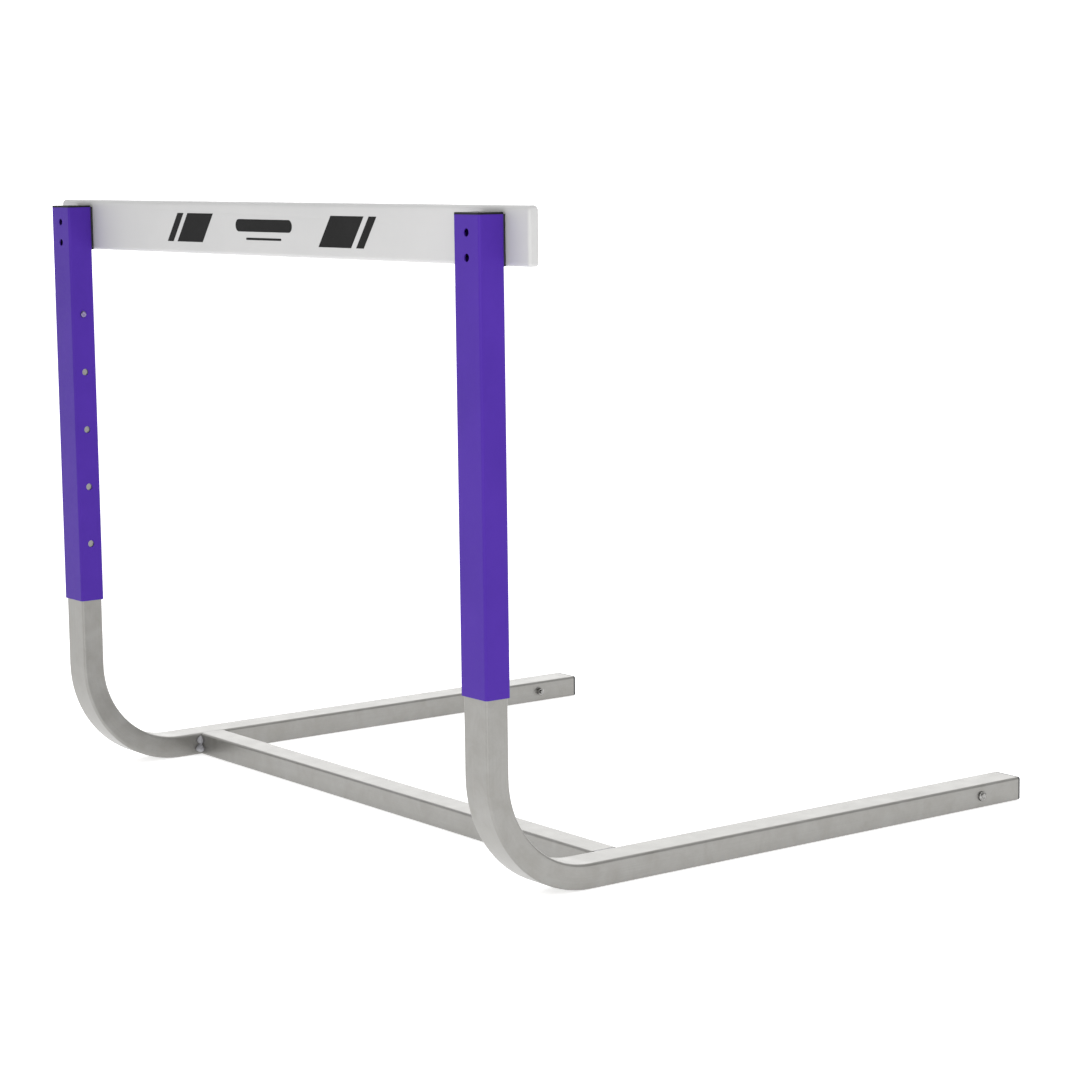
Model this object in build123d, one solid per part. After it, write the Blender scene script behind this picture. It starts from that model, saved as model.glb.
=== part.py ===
from build123d import *
from math import cos, radians
import os

# Adjustable track hurdle. All lengths are in millimetres. +X runs along the board, +Y points to the feet's
# open ends and +Z points up. The origin is on the floor, under the middle of the hurdle's box.
# Every paired piece is drawn for the right-hand side (+X) and mirrored to the left.

# Height settings
LOWEST_BOARD_TOP = 762.0
HEIGHT_STEP = 76.2
HEIGHT_COUNT = 5

# Base: bent rectangular tube, wider along X than it is deep, and a narrower tube laid flat between the feet
TUBE_WIDTH = 44.0
TUBE_DEPTH = 29.5
CROSS_TUBE_WIDTH = 37.0
TUBE_WALL = 1.6
TUBE_CORNER = 3.2
UPRIGHT_SPACING = 914.4
BEND_RADIUS = 127.0
FOOT_REACH = 812.8
CROSS_TUBE_PAST_BEND = 33.0
TUBE_ABOVE_BUTTON = 27.3

# The inner wall of each bend is sunken, deepest at its middle
DENT_DEPTH = 3.0
DENT_HALF_WIDTH = 14.5
DENT_HALF_ANGLE = 38.0

# Welds at the cross tube's ends
WELD_LEG = 6.0
WELD_CROWN = 0.9

# Plugs in the feet
PLUG_FLANGE = 3.0
PLUG_DEPTH = 14.0
PLUG_WALL = 2.0
PLUG_HOLLOW_CORNER = 0.5
PLUG_GAP = 0.1
PLUG_INSET = 0.2

# Counterweights, each held by one bolt across the foot
WEIGHT_GAP = 1.5
WEIGHT_LENGTH = 100.0
WEIGHT_BOLT_SETBACK = 68.0
BOLT = 6.0
BOLT_CLEARANCE = 0.3
BOLT_HEAD = 12.5
BOLT_HEAD_HEIGHT = 4.0
BOLT_HEAD_ROUND = 3.4
BOLT_TAIL = 3.0
NUT_FLATS = 10.0
NUT_HEIGHT = 5.0

# Snap buttons and their V springs
BUTTON = 8.0
BUTTON_COLLAR = 11.0
BUTTON_COLLAR_THICKNESS = 1.2
BUTTON_PROUD = 1.5
BUTTON_ROUND = 1.4
BUTTON_BORE_GAP = 0.3
SPRING_THICKNESS = 0.8
SPRING_WIDTH = 9.0
SPRING_SEAT = 9.0
SPRING_DROP = 62.0
SPRING_BEND = 4.0

# Sleeves, which slide on the base's uprights
SLIDE_GAP = 0.3
SLEEVE_WALL = 1.5
SLEEVE_CORNER = 3.0
SLEEVE_TOP_BELOW_BOARD_TOP = 9.6
FIRST_HOLE = 76.2
SLEEVE_ABOVE_TOP_HOLE = 139.7
HEIGHT_HOLE = 9.0
ACCESS_HOLE = 9.0

# Caps in the sleeves' tops
CAP_FLANGE = 2.5
CAP_EDGE = 1.1
CAP_DEPTH = 11.0

# Board, a hollow moulding of three long cells, on thin pads
BOARD_OVERHANG = 63.5
BOARD_HEIGHT = 65.0
BOARD_THICKNESS = 13.5
BOARD_WALL = 2.0
BOARD_WEB = 1.8
BOARD_TOP_ROUND = 6.0
BOARD_BOTTOM_ROUND = 4.5
END_CAP_FLANGE = 4.0
END_CAP_ROUND = 3.6
END_CAP_TONGUE = 14.0
END_CAP_GAP = 0.2
PAD = 3.2

# Board screws, reached through the sleeves' access holes, and their dome nuts
SCREW_ABOVE_BOARD_BOTTOM = 9.9
SCREW_SPACING = 26.7
SCREW = 5.0
SCREW_HOLE_GAP = 0.25
SCREW_HEAD = 8.5
SCREW_HEAD_HEIGHT = 5.0
SOCKET_FLATS = 4.0
SOCKET_DEPTH = 2.6
SCREW_IN_NUT = 4.6
DOME_NUT_FLATS = 8.0
DOME_NUT_HEX = 4.0
DOME_NUT_HEIGHT = 7.5

# Sizes that follow from the ones above
inside_width = TUBE_WIDTH - 2 * TUBE_WALL
inside_depth = TUBE_DEPTH - 2 * TUBE_WALL
inside_corner = TUBE_CORNER - TUBE_WALL
sleeve_inside_width = TUBE_WIDTH + 2 * SLIDE_GAP
sleeve_inside_depth = TUBE_DEPTH + 2 * SLIDE_GAP
sleeve_inside_corner = SLEEVE_CORNER - SLEEVE_WALL
sleeve_width = sleeve_inside_width + 2 * SLEEVE_WALL
sleeve_depth = sleeve_inside_depth + 2 * SLEEVE_WALL
board_length = UPRIGHT_SPACING + 2 * BOARD_OVERHANG
sleeve_length = FIRST_HOLE + HEIGHT_STEP * (HEIGHT_COUNT - 1) + SLEEVE_ABOVE_TOP_HOLE

# Places that follow from the sizes
upright_x = UPRIGHT_SPACING / 2
upright_y = (sleeve_depth / 2 - FOOT_REACH) / 2
foot_end_y = upright_y + FOOT_REACH
foot_z = TUBE_DEPTH / 2
bend_y = upright_y + BEND_RADIUS
bend_z = foot_z + BEND_RADIUS
cross_tube_y = bend_y + CROSS_TUBE_PAST_BEND + CROSS_TUBE_WIDTH / 2
sleeve_top = LOWEST_BOARD_TOP - SLEEVE_TOP_BELOW_BOARD_TOP
sleeve_bottom = sleeve_top - sleeve_length
button_z = sleeve_top - SLEEVE_ABOVE_TOP_HOLE
base_tube_top = button_z + TUBE_ABOVE_BUTTON
inner_x = upright_x - inside_width / 2
weight_bolt_y = foot_end_y - WEIGHT_BOLT_SETBACK
sleeve_back_y = upright_y + sleeve_depth / 2
board_front_y = sleeve_back_y + PAD
board_back_y = board_front_y + BOARD_THICKNESS
board_bottom = LOWEST_BOARD_TOP - BOARD_HEIGHT
board_half = board_length / 2 - END_CAP_FLANGE
screw_heights = [board_bottom + SCREW_ABOVE_BOARD_BOTTOM + SCREW_SPACING * i for i in range(2)]
sleeve_back_inside_y = sleeve_back_y - SLEEVE_WALL

FROM_BASE = (Align.CENTER, Align.CENTER, Align.MIN)
TO_PLUS_X = Rot(0, 90, 0)
TO_MINUS_X = Rot(0, -90, 0)
TO_PLUS_Y = Rot(-90, 0, 0)
TO_MINUS_Y = Rot(90, 0, 0)


def section(width, depth, corner):
    return RectangleRounded(width, depth, corner)


def rod(diameter, length):
    return Cylinder(diameter / 2, length, align=FROM_BASE)


def hexagon(flats):
    return RegularPolygon(flats / 2, 6, major_radius=False)


def bend_torus(minor_radius):
    """Ring lying just inside a bend, nearer to its outer corner than the bend's own centre is."""
    shift = DENT_DEPTH / (1 - cos(radians(DENT_HALF_ANGLE)))
    dent_radius = (DENT_HALF_WIDTH**2 + DENT_DEPTH**2) / (2 * DENT_DEPTH)
    reach = BEND_RADIUS - TUBE_DEPTH / 2 - shift + DENT_DEPTH
    diagonal = shift * cos(radians(45))
    centre = Pos(upright_x, bend_y - diagonal, bend_z - diagonal)
    return centre * TO_PLUS_X * Torus(reach - dent_radius, dent_radius + minor_radius)


def base_leg():
    path = FilletPolyline(
        (upright_x, upright_y, base_tube_top),
        (upright_x, upright_y, foot_z),
        (upright_x, foot_end_y - PLUG_FLANGE, foot_z),
        radius=BEND_RADIUS,
    )
    start = Plane(origin=path @ 0, x_dir=(1, 0, 0), z_dir=path % 0)
    outside = sweep(start * section(TUBE_WIDTH, TUBE_DEPTH, TUBE_CORNER), path=path)
    inside = sweep(start * section(inside_width, inside_depth, inside_corner), path=path)
    leg = (outside - bend_torus(0)) - (inside - bend_torus(TUBE_WALL))
    button_hole = rod(BUTTON + 2 * BUTTON_BORE_GAP, TUBE_WIDTH / 2)
    leg -= Pos(upright_x, upright_y, button_z) * TO_MINUS_X * button_hole
    bolt_hole = Cylinder(BOLT / 2 + BOLT_CLEARANCE, TUBE_WIDTH)
    leg -= Pos(upright_x, weight_bolt_y, foot_z) * TO_PLUS_X * bolt_hole
    return leg


def cross_tube():
    wall = section(TUBE_DEPTH, CROSS_TUBE_WIDTH, TUBE_CORNER)
    wall -= section(inside_depth, CROSS_TUBE_WIDTH - 2 * TUBE_WALL, inside_corner)
    tube = extrude(wall, (UPRIGHT_SPACING - TUBE_WIDTH) / 2, both=True)
    return Pos(0, cross_tube_y, foot_z) * TO_PLUS_X * tube


def weld_beads():
    """Upright fillet welds before and behind the cross tube, and a low crown over the seam on top."""
    corner_x = upright_x - TUBE_WIDTH / 2
    bead_height = TUBE_DEPTH - 2 * TUBE_CORNER
    crown_length = CROSS_TUBE_WIDTH - 2 * TUBE_CORNER
    beads = []
    for side, turn in ((-1, 180), (1, 90)):
        corner_y = cross_tube_y + side * CROSS_TUBE_WIDTH / 2
        quarter = Cylinder(WELD_LEG, bead_height, arc_size=90, align=(Align.MIN, Align.MIN, Align.CENTER))
        beads.append(Pos(corner_x, corner_y, foot_z) * Rot(0, 0, turn) * quarter)
    seam = Pos(corner_x, TUBE_DEPTH) * Ellipse(2 * WELD_LEG, WELD_CROWN)
    seam += Pos(corner_x, TUBE_DEPTH) * Rectangle(TUBE_CORNER, TUBE_CORNER, align=(Align.MIN, Align.MAX))
    seam -= Pos(upright_x, foot_z) * section(TUBE_WIDTH, TUBE_DEPTH, TUBE_CORNER)
    seam -= Pos(corner_x, 0) * Rectangle(TUBE_WIDTH, TUBE_DEPTH, align=(Align.MAX, Align.MIN))
    crown = extrude(Plane.XZ * seam, crown_length / 2, both=True)
    beads.append(Pos(0, cross_tube_y, 0) * crown)
    return beads


def plug(flange, bore_width, bore_depth, corner, length):
    """Add the hollow body of a moulded plug, below its flange, that fits a tube's bore."""
    width = bore_width - 2 * PLUG_GAP
    depth = bore_depth - 2 * PLUG_GAP
    body = section(width, depth, corner)
    body -= section(width - 2 * PLUG_WALL, depth - 2 * PLUG_WALL, PLUG_HOLLOW_CORNER)
    return flange + extrude(body, -length)


def foot_plug():
    face = section(TUBE_WIDTH - 2 * PLUG_INSET, TUBE_DEPTH - 2 * PLUG_INSET, TUBE_CORNER - PLUG_INSET)
    whole = plug(extrude(face, PLUG_FLANGE), inside_width, inside_depth, inside_corner, PLUG_DEPTH)
    return Pos(upright_x, foot_end_y - PLUG_FLANGE, foot_z) * TO_PLUS_Y * whole


def counterweight():
    width = inside_width - 2 * WEIGHT_GAP
    bar = Box(width, WEIGHT_LENGTH, inside_depth - 2 * WEIGHT_GAP)
    bar -= TO_PLUS_X * Cylinder(BOLT / 2 + BOLT_CLEARANCE, width)
    return Pos(upright_x, weight_bolt_y, foot_z) * bar


def weight_bolt():
    """Domed bolt: its head is on the foot's outer face and its tail comes out of the nut."""
    head = rod(BOLT_HEAD, BOLT_HEAD_HEIGHT)
    head = fillet(head.edges().group_by(Axis.Z)[-1], BOLT_HEAD_ROUND)
    shank = Rot(180, 0, 0) * rod(BOLT, TUBE_WIDTH + NUT_HEIGHT + BOLT_TAIL)
    return Pos(upright_x + TUBE_WIDTH / 2, weight_bolt_y, foot_z) * TO_PLUS_X * (head + shank)


def weight_nut():
    nut = extrude(hexagon(NUT_FLATS) - Circle(BOLT / 2), NUT_HEIGHT)
    return Pos(upright_x - TUBE_WIDTH / 2, weight_bolt_y, foot_z) * TO_MINUS_X * nut


def button():
    """Snap button on the upright's inner face, through the base tube and the sleeve."""
    reach = (sleeve_width - inside_width) / 2 + BUTTON_PROUD
    stem = rod(BUTTON, reach)
    stem = fillet(stem.edges().group_by(Axis.Z)[-1], BUTTON_ROUND)
    collar = Rot(180, 0, 0) * rod(BUTTON_COLLAR, BUTTON_COLLAR_THICKNESS)
    return Pos(inner_x, upright_y, button_z) * TO_MINUS_X * (stem + collar)


def button_spring():
    """Bent strip: one arm seats the button's collar, the other bears on the opposite wall."""
    seat_x = inner_x + BUTTON_COLLAR_THICKNESS + SPRING_THICKNESS / 2
    far_x = upright_x + inside_width / 2 - SPRING_THICKNESS / 2
    path = FilletPolyline(
        (seat_x, upright_y, button_z + SPRING_SEAT),
        (seat_x, upright_y, button_z - SPRING_SEAT),
        (upright_x, upright_y, button_z - SPRING_DROP),
        (far_x, upright_y, button_z - SPRING_SEAT),
        (far_x, upright_y, button_z + SPRING_SEAT),
        radius=SPRING_BEND,
    )
    start = Plane(origin=path @ 0, x_dir=(0, 1, 0), z_dir=path % 0)
    return sweep(start * Rectangle(SPRING_WIDTH, SPRING_THICKNESS), path=path)


def upright_sleeve():
    wall = section(sleeve_width, sleeve_depth, SLEEVE_CORNER)
    wall -= section(sleeve_inside_width, sleeve_inside_depth, sleeve_inside_corner)
    tube = Pos(upright_x, upright_y, sleeve_bottom) * extrude(wall, sleeve_length)
    for i in range(HEIGHT_COUNT):
        height_hole = TO_MINUS_X * rod(HEIGHT_HOLE, sleeve_width / 2)
        tube -= Pos(upright_x, upright_y, sleeve_bottom + FIRST_HOLE + HEIGHT_STEP * i) * height_hole
    access_hole = TO_MINUS_Y * rod(ACCESS_HOLE, sleeve_depth / 2)
    screw_hole = TO_PLUS_Y * rod(SCREW + 2 * SCREW_HOLE_GAP, sleeve_depth / 2)
    for z in screw_heights:
        tube -= Pos(upright_x, upright_y, z) * (access_hole + screw_hole)
    return tube


def top_cap():
    flange = extrude(section(sleeve_width, sleeve_depth, SLEEVE_CORNER), CAP_FLANGE)
    flange = fillet(flange.edges().group_by(Axis.Z)[-1], CAP_EDGE)
    cap = plug(flange, sleeve_inside_width, sleeve_inside_depth, sleeve_inside_corner, CAP_DEPTH)
    return Pos(upright_x, upright_y, sleeve_top) * cap


def board_pad():
    height = sleeve_top - board_bottom
    pad = Box(sleeve_width - 2 * SLEEVE_CORNER, PAD, height, align=(Align.CENTER, Align.MIN, Align.MIN))
    pad = Pos(upright_x, sleeve_back_y, board_bottom) * pad
    for z in screw_heights:
        pad -= Pos(upright_x, sleeve_back_y, z) * TO_PLUS_Y * rod(SCREW + 2 * SCREW_HOLE_GAP, PAD)
    return pad


def board_outline():
    """Board's section, seen along X: sketch X is the board's thickness, sketch Y its height."""
    outline = Rectangle(BOARD_THICKNESS, BOARD_HEIGHT)
    largest_round = 0.45 * BOARD_THICKNESS
    outline = fillet(outline.vertices().group_by(Axis.Y)[-1], min(BOARD_TOP_ROUND, largest_round))
    return fillet(outline.vertices().group_by(Axis.Y)[0], min(BOARD_BOTTOM_ROUND, largest_round))


def board_cells(gap):
    """The board's three long cells, each smaller all round by the gap."""
    cavity = offset(board_outline(), -BOARD_WALL)
    for side in (-1, 1):
        cavity -= Pos(0, side * BOARD_HEIGHT / 6) * Rectangle(BOARD_THICKNESS, BOARD_WEB)
    return [offset(cell, -gap) if gap else cell for cell in cavity.faces()]


def along_board(x):
    """Plane across the board at x, facing +X, with sketch X along +Y."""
    centre = (x, board_front_y + BOARD_THICKNESS / 2, board_bottom + BOARD_HEIGHT / 2)
    return Plane(origin=centre, x_dir=(0, 1, 0), z_dir=(1, 0, 0))


def gate_board():
    section = board_outline()
    for cell in board_cells(0):
        section -= cell
    board = extrude(along_board(0) * section, board_half, both=True)
    for x in (-upright_x, upright_x):
        for z in screw_heights:
            board -= Pos(x, board_front_y, z) * TO_PLUS_Y * rod(SCREW + 2 * SCREW_HOLE_GAP, BOARD_THICKNESS)
    return board


def board_end_cap():
    flange = extrude(along_board(board_half) * board_outline(), END_CAP_FLANGE)
    cap = fillet(flange.edges().group_by(Axis.X)[-1], END_CAP_ROUND)
    for cell in board_cells(END_CAP_GAP):
        cap += extrude(along_board(board_half) * cell, -END_CAP_TONGUE)
    return cap


def board_screws():
    """Two socket screws: heads inside the sleeve, tails in the dome nuts."""
    head = Rot(180, 0, 0) * rod(SCREW_HEAD, SCREW_HEAD_HEIGHT)
    head -= Pos(0, 0, -SCREW_HEAD_HEIGHT) * extrude(hexagon(SOCKET_FLATS), SOCKET_DEPTH)
    shank = rod(SCREW, board_back_y - sleeve_back_inside_y + SCREW_IN_NUT)
    screw = TO_PLUS_Y * (head + shank)
    return [Pos(upright_x, sleeve_back_inside_y, z) * screw for z in screw_heights]


def board_nuts():
    dome = rod(DOME_NUT_FLATS, DOME_NUT_HEIGHT)
    dome = fillet(dome.edges().group_by(Axis.Z)[-1], DOME_NUT_FLATS / 2 - 0.4)
    nut = dome + extrude(hexagon(DOME_NUT_FLATS), DOME_NUT_HEX)
    nut -= rod(SCREW, SCREW_IN_NUT)
    return [Pos(upright_x, board_back_y, z) * TO_PLUS_Y * nut for z in screw_heights]


def save(name, solids):
    shape = Compound(children=solids) if len(solids) > 1 else solids[0]
    export_step(shape, f"parts/{name}.step")


def save_pair(name, shape):
    """Save a right-hand piece, or group of pieces, and its mirrored twin."""
    solids = shape if isinstance(shape, list) else [shape]
    save(f"{name}_left", [mirror(solid, about=Plane.YZ) for solid in solids])
    save(f"{name}_right", solids)


os.makedirs("parts", exist_ok=True)

save("cross_tube", [cross_tube()])
save("gate_board", [gate_board()])
for piece in (
    base_leg,
    weld_beads,
    foot_plug,
    counterweight,
    weight_bolt,
    weight_nut,
    button,
    button_spring,
    upright_sleeve,
    top_cap,
    board_pad,
    board_end_cap,
    board_screws,
    board_nuts,
):
    save_pair(piece.__name__, piece())
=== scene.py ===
import math

import bmesh
import bpy
from mathutils import Matrix, Vector, noise

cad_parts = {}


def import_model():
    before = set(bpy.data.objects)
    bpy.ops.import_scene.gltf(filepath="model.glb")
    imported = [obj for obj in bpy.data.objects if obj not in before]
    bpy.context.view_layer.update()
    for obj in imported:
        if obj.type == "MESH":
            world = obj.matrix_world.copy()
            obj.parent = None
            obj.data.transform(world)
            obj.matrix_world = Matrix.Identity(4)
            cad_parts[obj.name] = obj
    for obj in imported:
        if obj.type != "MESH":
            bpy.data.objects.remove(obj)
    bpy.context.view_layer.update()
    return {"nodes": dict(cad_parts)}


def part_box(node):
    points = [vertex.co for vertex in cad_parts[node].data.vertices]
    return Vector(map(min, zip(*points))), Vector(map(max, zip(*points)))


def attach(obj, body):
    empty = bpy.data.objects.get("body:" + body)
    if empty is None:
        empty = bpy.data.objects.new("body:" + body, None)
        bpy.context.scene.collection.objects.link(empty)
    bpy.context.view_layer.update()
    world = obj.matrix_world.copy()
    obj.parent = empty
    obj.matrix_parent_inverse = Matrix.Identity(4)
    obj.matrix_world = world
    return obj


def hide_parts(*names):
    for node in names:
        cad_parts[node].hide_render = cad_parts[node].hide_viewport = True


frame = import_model()
nodes = frame["nodes"]

# Sizes are in metres and angles in degrees.

# Camera: where it stands and how it is turned
CAMERA_PLACE = Vector((2.9173, -2.1762, 0.8173))
CAMERA_AZIMUTH = 52.99
CAMERA_ELEVATION = 7.78
CAMERA_ROLL = -0.70
CAMERA_LENS = 94.71
CAMERA_SENSOR = 36.0
CAMERA_FAR = 60.0

# Tubes: the radius of a leg's middle line, and how much slower the drawn lines change along a tube
# than across it
BEND_RADIUS = 0.127
GRAIN_STRETCH = 0.012

# Weld beads: the share of the cross tube's side that one covers, and how far the seam over the top
# is sunk and how flat it is
WELD_SIZE = 0.0080
WELD_COVER = 0.80
SEAM_SUNK = 0.0004
SEAM_FLATNESS = 0.09

# Prints on the board: heights are above the board's lower edge, places are from its middle
PRINT_THICKNESS = 0.00012
PRINT_SUNK = 0.00002
PRINT_LOW = 0.0145
PRINT_HIGH = 0.0500
PRINT_LEAN = 0.74

# Place, width, and how far below PRINT_LOW it reaches
SLANTED_PRINTS = {
    "print_stripe_left": (-0.2193, 0.0148, 0.0),
    "print_block_left": (-0.1712, 0.0620, 0.0),
    "print_block_right": (0.1590, 0.0690, 0.001),
    "print_stripe_right": (0.2118, 0.0158, 0.001),
}

# Place, height of its middle, length and thickness
ROUND_PRINTS = {
    "print_bar": (-0.0100, 0.0365, 0.128, 0.0150),
    "print_underline": (-0.0100, 0.0205, 0.080, 0.0028),
}

# Colours
ZINC_DARK = (0.262, 0.256, 0.240)
ZINC_LIGHT = (0.322, 0.317, 0.304)
ZINC_LINES = (0.245, 0.242, 0.232)
ZINC_RUBS = (0.240, 0.228, 0.205)
ZINC_SPECKLE = (0.42, 0.415, 0.40)
PURPLE_DARK = (0.062, 0.0205, 0.296)
PURPLE_LIGHT = (0.070, 0.0235, 0.322)
PURPLE_MARKS = (0.115, 0.065, 0.42)

# Studio light: the direction that it is brightest from, the world's strength away from it and
# towards it, and what a window of light on that side adds, from its edge to its full strength
BRIGHT_SIDE = (-0.770, 0.590, 0.243)
WORLD_DIM = 0.35
WORLD_BRIGHT = 1.10
WINDOW_GLOW = 0.95
WINDOW_EDGE = 0.80
WINDOW_FULL = 0.97
FLOOR_GLOW = 0.62
FLOOR_RADIUS = 14.0
FLOOR_DROP = 0.0006

# Lights: place, what each one faces, size, and power in watts
LIGHTS = {
    "overhead": ((0.2, 0.4, 3.2), (0.0, 0.1, 0.2), 2.6, 12.0),
    "key": ((2.1, -2.9, 0.55), (0.0, -0.2, 0.5), 0.9, 7.0),
    "side": ((1.5, -1.2, 1.0), (0.48, -0.4, 0.55), 0.5, 4.6),
}


# Material nodes

def new_material(name):
    material = bpy.data.materials.new(name)
    material.use_nodes = True
    return material, material.node_tree, material.node_tree.nodes["Principled BSDF"]


def add(tree, kind, **settings):
    node = tree.nodes.new(kind)
    for key, value in settings.items():
        setattr(node, key, value)
    return node


def math_node(tree, operation, first, second=0.0):
    node = add(tree, "ShaderNodeMath", operation=operation)
    for socket, value in zip(node.inputs, (first, second)):
        if isinstance(value, bpy.types.NodeSocket):
            tree.links.new(value, socket)
        else:
            socket.default_value = value
    return node.outputs[0]


def noise_map(tree, vector, scale, detail=4.0, roughness=0.55, distortion=0.0):
    node = add(tree, "ShaderNodeTexNoise")
    node.inputs["Scale"].default_value = scale
    node.inputs["Detail"].default_value = detail
    node.inputs["Roughness"].default_value = roughness
    node.inputs["Distortion"].default_value = distortion
    tree.links.new(vector, node.inputs["Vector"])
    return node.outputs["Fac"]


def spread(tree, value, low, high, out_low=0.0, out_high=1.0):
    node = add(tree, "ShaderNodeMapRange", clamp=True)
    tree.links.new(value, node.inputs["Value"])
    sockets = ("From Min", "From Max", "To Min", "To Max")
    for name, number in zip(sockets, (low, high, out_low, out_high)):
        node.inputs[name].default_value = number
    return node.outputs["Result"]


def mix_colour(tree, factor, first, second):
    node = add(tree, "ShaderNodeMix", data_type="RGBA", blend_type="MIX")
    tree.links.new(factor, node.inputs["Factor"])
    for socket, value in ((node.inputs[6], first), (node.inputs[7], second)):
        if isinstance(value, bpy.types.NodeSocket):
            tree.links.new(value, socket)
        else:
            socket.default_value = (*value, 1.0)
    return node.outputs[2]


def object_coordinates(tree):
    return add(tree, "ShaderNodeTexCoord").outputs["Object"]


def add_bump(tree, shader, height, strength, distance, under=None):
    node = add(tree, "ShaderNodeBump")
    node.inputs["Strength"].default_value = strength
    node.inputs["Distance"].default_value = distance
    tree.links.new(height, node.inputs["Height"])
    if under is not None:
        tree.links.new(under, node.inputs["Normal"])
    tree.links.new(node.outputs["Normal"], shader.inputs["Normal"])
    return node.outputs["Normal"]


def along_bent_tube(tree, vector):
    """Coordinates that follow a leg: across its width, across its depth, and slowly along it."""
    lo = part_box("base_leg_right")[0]
    half_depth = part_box("cross_tube")[1].z / 2
    bend_y, bend_z = lo.y + half_depth + BEND_RADIUS, lo.z + half_depth + BEND_RADIUS
    parts = add(tree, "ShaderNodeSeparateXYZ")
    tree.links.new(vector, parts.inputs[0])
    x, y, z = parts.outputs
    back = math_node(tree, "MAXIMUM", math_node(tree, "SUBTRACT", bend_y, y), 0.0)
    down = math_node(tree, "MAXIMUM", math_node(tree, "SUBTRACT", bend_z, z), 0.0)
    back_square = math_node(tree, "MULTIPLY", back, back)
    down_square = math_node(tree, "MULTIPLY", down, down)
    depth = math_node(tree, "SQRT", math_node(tree, "ADD", back_square, down_square))
    along = math_node(tree, "MULTIPLY", math_node(tree, "SUBTRACT", y, z), GRAIN_STRETCH)
    joined = add(tree, "ShaderNodeCombineXYZ")
    for socket, value in zip(joined.inputs, (x, depth, along)):
        tree.links.new(value, socket)
    return joined.outputs[0]


def along_straight_tube(tree, vector):
    scale = add(tree, "ShaderNodeVectorMath", operation="MULTIPLY")
    scale.inputs[1].default_value = (GRAIN_STRETCH, 1.0, 1.0)
    tree.links.new(vector, scale.inputs[0])
    return scale.outputs[0]


def zinc_tube(name, follow):
    """Dull zinc-plated tube: drawn lines along it, soft cloudy mottling and a few darker rubs."""
    material, tree, shader = new_material(name)
    place = object_coordinates(tree)
    lines = noise_map(tree, follow(tree, place), 620.0, 5.0, 0.6)
    clouds = noise_map(tree, place, 34.0, 5.0, 0.6, 0.4)
    rubs = noise_map(tree, place, 9.0, 6.0, 0.7, 1.2)
    speckle = noise_map(tree, place, 1500.0, 2.0, 0.5)
    colour = mix_colour(tree, spread(tree, clouds, 0.32, 0.7), ZINC_DARK, ZINC_LIGHT)
    for pattern, low, high, amount, tint in (
        (lines, 0.4, 0.75, 0.30, ZINC_LINES),
        (rubs, 0.58, 0.8, 0.35, ZINC_RUBS),
        (speckle, 0.62, 0.8, 0.25, ZINC_SPECKLE),
    ):
        colour = mix_colour(tree, spread(tree, pattern, low, high, 0.0, amount), colour, tint)
    tree.links.new(colour, shader.inputs["Base Color"])
    tree.links.new(spread(tree, clouds, 0.3, 0.75, 0.28, 0.42), shader.inputs["Roughness"])
    shader.inputs["Metallic"].default_value = 0.85
    grain = add_bump(tree, shader, lines, 0.25, 0.0003)
    add_bump(tree, shader, rubs, 0.35, 0.0012, grain)
    return material


def powder_coat():
    """Satin purple powder coat with orange peel and faint handling marks."""
    material, tree, shader = new_material("purple_powder_coat")
    place = object_coordinates(tree)
    peel = noise_map(tree, place, 520.0, 2.0, 0.45)
    clouds = noise_map(tree, place, 14.0, 3.0, 0.5)
    marks = noise_map(tree, place, 90.0, 6.0, 0.75, 1.5)
    colour = mix_colour(tree, spread(tree, clouds, 0.3, 0.7), PURPLE_DARK, PURPLE_LIGHT)
    marked = spread(tree, marks, 0.66, 0.82, 0.0, 0.25)
    colour = mix_colour(tree, marked, colour, PURPLE_MARKS)
    tree.links.new(colour, shader.inputs["Base Color"])
    tree.links.new(spread(tree, marks, 0.35, 0.8, 0.32, 0.48), shader.inputs["Roughness"])
    shader.inputs["Specular IOR Level"].default_value = 0.10
    add_bump(tree, shader, peel, 0.18, 0.0004)
    return material


def moulded(name, dark, light, rough, grain_scale, grain_strength, patch_scale=22.0, shine=0.5):
    """Two close tones in soft patches and a fine grain: for plastic, foam, ink and rough metal."""
    material, tree, shader = new_material(name)
    place = object_coordinates(tree)
    patches = noise_map(tree, place, patch_scale, 4.0, 0.55)
    grain = noise_map(tree, place, grain_scale, 3.0, 0.6)
    colour = mix_colour(tree, spread(tree, patches, 0.3, 0.7), dark, light)
    tree.links.new(colour, shader.inputs["Base Color"])
    tree.links.new(spread(tree, grain, 0.3, 0.75, *rough), shader.inputs["Roughness"])
    shader.inputs["Specular IOR Level"].default_value = shine
    add_bump(tree, shader, grain, grain_strength, 0.0004)
    return material


def plated(name, dark, light, rough):
    """Bright or dull plated steel with a fine grain and small dull spots."""
    material, tree, shader = new_material(name)
    place = object_coordinates(tree)
    spots = noise_map(tree, place, 420.0, 5.0, 0.65)
    fine = noise_map(tree, place, 2400.0, 2.0, 0.5)
    colour = mix_colour(tree, spread(tree, spots, 0.38, 0.68), dark, light)
    tree.links.new(colour, shader.inputs["Base Color"])
    smooth, dull = rough
    tree.links.new(spread(tree, spots, 0.3, 0.7, dull, smooth), shader.inputs["Roughness"])
    shader.inputs["Metallic"].default_value = 1.0
    add_bump(tree, shader, fine, 0.15, 0.0002)
    return material


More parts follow.
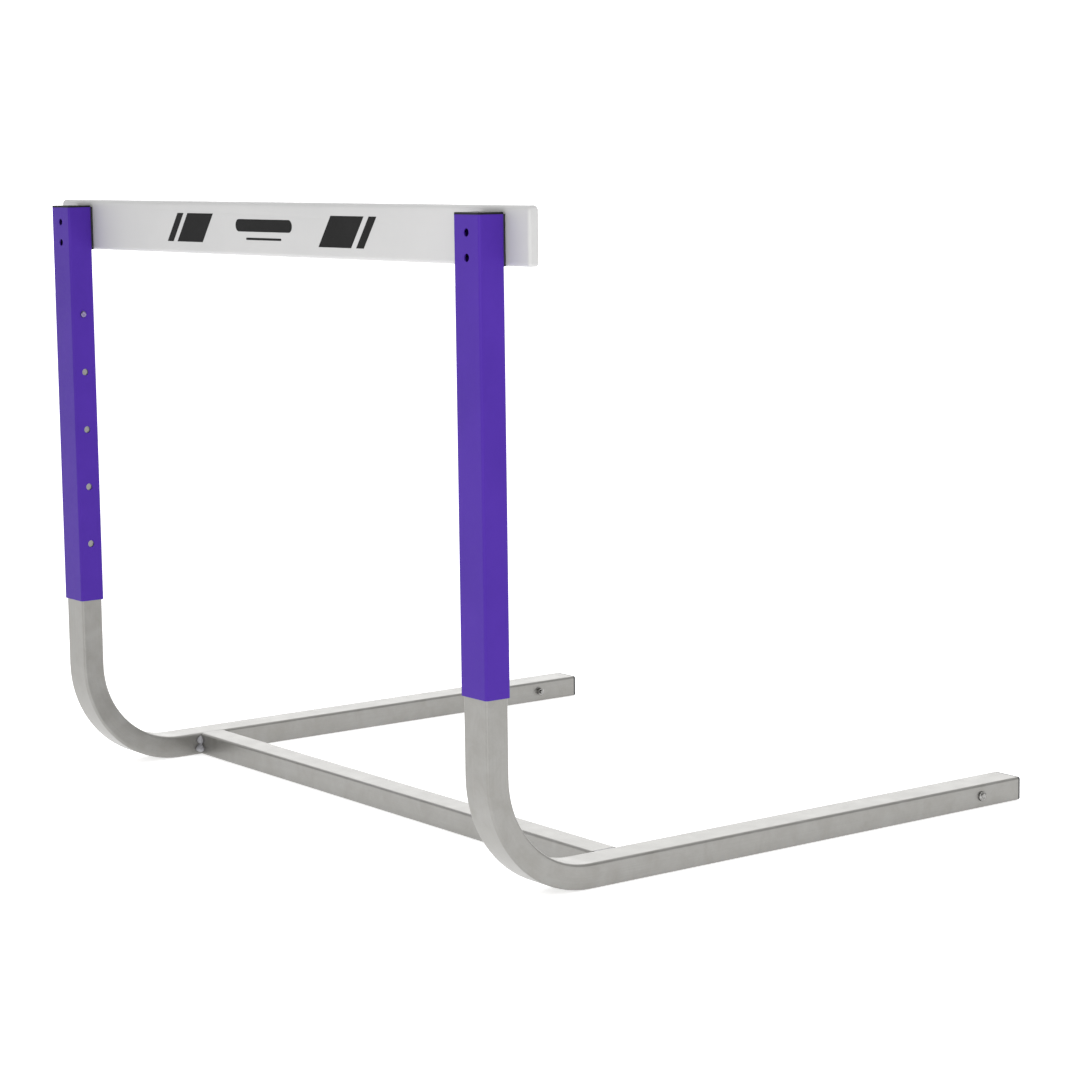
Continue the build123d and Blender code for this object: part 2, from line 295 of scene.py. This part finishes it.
MATERIALS = {
    "base_leg": zinc_tube("zinc_leg", along_bent_tube),
    "cross_tube": zinc_tube("zinc_cross_tube", along_straight_tube),
    "foot_plug": moulded(
        "grey_plastic", (0.045, 0.045, 0.047), (0.065, 0.065, 0.068), (0.45, 0.6), 1400.0, 0.25
    ),
    "counterweight": moulded(
        "cast_weight", (0.05, 0.05, 0.052), (0.09, 0.087, 0.085), (0.6, 0.8), 500.0, 0.6
    ),
    "weight_bolt": plated("bright_zinc", (0.17, 0.167, 0.16), (0.42, 0.415, 0.405), (0.10, 0.24)),
    # The button's plating is tinted purple and dimmed. This is a painted reflection of the purple
    # sleeve around it and painted shade from its hole; plain plated steel would be grey.
    "button": plated("plated_button", (0.20, 0.17, 0.30), (0.34, 0.29, 0.47), (0.16, 0.28)),
    "button_spring": plated("spring_steel", (0.16, 0.17, 0.21), (0.26, 0.27, 0.31), (0.30, 0.45)),
    "upright_sleeve": powder_coat(),
    "top_cap": moulded(
        "black_plastic", (0.004, 0.004, 0.005), (0.008, 0.008, 0.009), (0.45, 0.6), 1500.0, 0.3,
        shine=0.2,
    ),
    "board_pad": moulded(
        "black_foam", (0.010, 0.010, 0.011), (0.022, 0.022, 0.023), (0.7, 0.9), 1200.0, 0.6
    ),
    "gate_board": moulded(
        "white_board_plastic", (0.530, 0.530, 0.530), (0.570, 0.567, 0.564), (0.30, 0.42),
        260.0, 0.06, patch_scale=6.0, shine=0.35,
    ),
    "board_end_cap": moulded(
        "white_cap_plastic", (0.510, 0.510, 0.510), (0.550, 0.547, 0.544), (0.34, 0.46),
        320.0, 0.08, patch_scale=30.0, shine=0.35,
    ),
    "board_screws": plated("black_screw", (0.03, 0.03, 0.032), (0.07, 0.07, 0.072), (0.35, 0.5)),
}
MATERIALS["weight_nut"] = MATERIALS["weight_bolt"]
MATERIALS["board_nuts"] = MATERIALS["weight_bolt"]
weld_metal = moulded(
    "weld_metal", (0.27, 0.27, 0.285), (0.38, 0.38, 0.395), (0.3, 0.5), 700.0, 0.3,
    patch_scale=260.0,
)
print_ink = moulded(
    "print_ink", (0.009, 0.009, 0.009), (0.013, 0.013, 0.013), (0.5, 0.65), 900.0, 0.1,
    shine=0.10,
)


def family(name):
    return name.rsplit("_", 1)[0] if name.endswith(("_left", "_right")) else name


for name, node in nodes.items():
    material = MATERIALS.get(family(name), weld_metal)
    node.data.materials.clear()
    node.data.materials.append(material)


# New pieces

def mesh_piece(name, build, material, body, smooth=True):
    mesh = bpy.data.meshes.new(name)
    bm = bmesh.new()
    build(bm)
    bmesh.ops.recalc_face_normals(bm, faces=bm.faces)
    bm.to_mesh(mesh)
    bm.free()
    mesh.polygons.foreach_set("use_smooth", [smooth] * len(mesh.polygons))
    mesh.materials.append(material)
    piece = bpy.data.objects.new(name, mesh)
    bpy.context.scene.collection.objects.link(piece)
    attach(piece, body)
    return piece


def printed_shape(bm, outline, front):
    """A film of ink on the board's front face, its outline given as (x, z)."""
    back = [bm.verts.new((x, front + PRINT_SUNK, z)) for x, z in outline]
    face = bm.faces.new(back)
    moved = bmesh.ops.extrude_face_region(bm, geom=[face])["geom"]
    film = [v for v in moved if isinstance(v, bmesh.types.BMVert)]
    bmesh.ops.translate(bm, verts=film, vec=(0, -PRINT_THICKNESS, 0))


def slanted(centre, width, low, high, lean):
    """Corners of a leaning block: centre and width are at its mid-height."""
    half, shift = width / 2, lean * (high - low) / 2
    return [
        (centre - half - shift, low),
        (centre + half - shift, low),
        (centre + half + shift, high),
        (centre - half + shift, high),
    ]


def pill(centre_x, centre_z, length, height, steps=12):
    """Outline of a bar with round ends."""
    radius = height / 2
    points = []
    for side, start in ((1, -90), (-1, 90)):
        for i in range(steps + 1):
            turn = math.radians(start + 180 * i / steps)
            x = centre_x + side * (length / 2 - radius) + radius * math.cos(turn)
            points.append((x, centre_z + radius * math.sin(turn)))
    return points


def board_prints():
    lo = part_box("gate_board")[0]
    low, high = lo.z + PRINT_LOW, lo.z + PRINT_HIGH
    prints = {}
    for name, (place, width, drop) in SLANTED_PRINTS.items():
        prints[name] = slanted(place, width, low - drop, high, PRINT_LEAN)
    for name, (place, middle, length, thickness) in ROUND_PRINTS.items():
        prints[name] = pill(place, lo.z + middle, length, thickness)
    for name, outline in prints.items():
        def build(bm):
            printed_shape(bm, outline, lo.y)

        piece = mesh_piece(name, build, print_ink, "gate", smooth=False)


def weld_bead(bm, corner, up, side_x, side_y, length, seed, blobs):
    """Bead in a corner, run along up as a few blobs, or evenly with none, and tapering.

    It reaches out to side_x and side_y and bulges between them.
    """
    rings, steps = 44, 10
    valley, blob, ripple = 0.40, 0.80, 0.12
    start, taper, tip = 1.25, 0.60, 0.002
    crown, crown_ripple, fullness = 0.22, 0.4, 0.86
    previous = None
    for i in range(rings + 1):
        t = i / rings
        lump = valley + blob * abs(math.sin(t * math.pi * blobs))
        lump += ripple * noise.noise(Vector((t * 7, seed, 0)))
        lump *= start - taper * t
        end = math.sqrt(max(1 - (2 * t - 1) ** 8, tip))
        reach = WELD_SIZE * lump * end
        centre = corner + up * (t - 0.5) * length
        ring = [bm.verts.new(centre)]
        for k in range(steps + 1):
            turn = math.pi / 2 * k / steps
            wobble = 1 + crown_ripple * noise.noise(Vector((t * 9, turn, seed)))
            bulge = 1 + crown * math.sin(2 * turn) * wobble
            out = side_x * math.cos(turn) + side_y * math.sin(turn)
            ring.append(bm.verts.new(centre + out * reach * bulge * fullness))
        if previous:
            for a in range(len(ring)):
                b = (a + 1) % len(ring)
                bm.faces.new((previous[a], previous[b], ring[b], ring[a]))
        else:
            bm.faces.new(ring)
        previous = ring
    bm.faces.new(previous)


def weld_beads():
    cross_lo, cross_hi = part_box("cross_tube")
    middle_y, middle_z = (cross_lo.y + cross_hi.y) / 2, (cross_lo.z + cross_hi.z) / 2
    side_length = (cross_hi.z - cross_lo.z) * WELD_COVER
    seam_length = (cross_hi.y - cross_lo.y) * WELD_COVER
    for name, sign in (("left", -1), ("right", 1)):
        corner_x = cross_lo.x if sign < 0 else cross_hi.x
        inward = Vector((-sign, 0, 0))

        def build(bm):
            upward = Vector((0, 0, 1))
            for y, out, seed in ((cross_lo.y, -1, 1.7), (cross_hi.y, 1, 4.1)):
                corner, outward = Vector((corner_x, y, middle_z)), Vector((0, out, 0))
                weld_bead(bm, corner, upward, inward, outward, side_length, seed, 2)
            top = Vector((corner_x, middle_y, cross_hi.z - SEAM_SUNK))
            across, low_crown = Vector((0, 1, 0)), Vector((0, 0, SEAM_FLATNESS))
            for out in (inward, -inward):
                weld_bead(bm, top, across, out, low_crown, seam_length, 2.9, 0)

        piece = mesh_piece(f"weld_{name}", build, weld_metal, "base")
        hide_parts(f"weld_beads_{name}")


board_prints()
weld_beads()


# Studio: floor, world, lights and camera

def floor():
    material, tree, shader = new_material("studio_floor")
    place = object_coordinates(tree)
    paper = noise_map(tree, place, 60.0, 4.0, 0.6)
    colour = mix_colour(tree, paper, (0.90, 0.90, 0.90), (0.94, 0.94, 0.94))
    tree.links.new(colour, shader.inputs["Base Color"])
    shader.inputs["Roughness"].default_value = 0.9
    shader.inputs["Emission Color"].default_value = (1, 1, 1, 1)
    shader.inputs["Emission Strength"].default_value = FLOOR_GLOW
    mesh = bpy.data.meshes.new("studio_floor")
    bm = bmesh.new()
    bmesh.ops.create_circle(bm, cap_ends=True, segments=96, radius=FLOOR_RADIUS)
    bm.to_mesh(mesh)
    bm.free()
    mesh.materials.append(material)
    piece = bpy.data.objects.new("studio_floor", mesh)
    piece.location.z = -FLOOR_DROP
    bpy.context.scene.collection.objects.link(piece)


def world():
    """White to the camera. The light on the hurdle is brightest from BRIGHT_SIDE, behind it."""
    made = bpy.data.worlds.new("studio")
    made.use_nodes = True
    tree = made.node_tree
    background = tree.nodes["Background"]
    direction = add(tree, "ShaderNodeTexCoord").outputs["Generated"]
    facing = add(tree, "ShaderNodeVectorMath", operation="DOT_PRODUCT")
    tree.links.new(direction, facing.inputs[0])
    facing.inputs[1].default_value = BRIGHT_SIDE
    towards = facing.outputs["Value"]
    lit = spread(tree, towards, -1.0, 1.0, WORLD_DIM, WORLD_BRIGHT)
    window = spread(tree, towards, WINDOW_EDGE, WINDOW_FULL, 0.0, WINDOW_GLOW)
    lit = math_node(tree, "ADD", lit, window)
    sight = add(tree, "ShaderNodeLightPath").outputs["Is Camera Ray"]
    strength = math_node(tree, "MAXIMUM", lit, sight)
    tree.links.new(strength, background.inputs["Strength"])
    background.inputs["Color"].default_value = (1, 1, 1, 1)
    bpy.context.scene.world = made


def area_light(name, place, target, size, power):
    light = bpy.data.lights.new(name, "AREA")
    light.shape = "DISK"
    light.size = size
    light.energy = power
    lamp = bpy.data.objects.new(name, light)
    lamp.location = place
    facing = Vector(target) - Vector(place)
    lamp.rotation_euler = facing.to_track_quat("-Z", "Y").to_euler()
    bpy.context.scene.collection.objects.link(lamp)


def camera():
    angles = (CAMERA_AZIMUTH, CAMERA_ELEVATION, CAMERA_ROLL)
    azimuth, elevation, roll = map(math.radians, angles)
    level = math.cos(elevation)
    back = Vector((math.sin(azimuth) * level, -math.cos(azimuth) * level, math.sin(elevation)))
    right = (-back).cross(Vector((0, 0, 1))).normalized()
    up = right.cross(-back)
    turned_right = math.cos(roll) * right + math.sin(roll) * up
    turned_up = math.cos(roll) * up - math.sin(roll) * right
    data = bpy.data.cameras.new("camera")
    data.lens = CAMERA_LENS
    data.sensor_width = CAMERA_SENSOR
    data.clip_end = CAMERA_FAR
    lens = bpy.data.objects.new("camera", data)
    turn = Matrix((turned_right, turned_up, back)).transposed()
    lens.matrix_world = Matrix.Translation(CAMERA_PLACE) @ turn.to_4x4()
    bpy.context.scene.collection.objects.link(lens)
    bpy.context.scene.camera = lens


floor()
world()
for name, (place, target, size, power) in LIGHTS.items():
    area_light(name, place, target, size, power)
camera()
bpy.context.scene.view_settings.view_transform = "Standard"
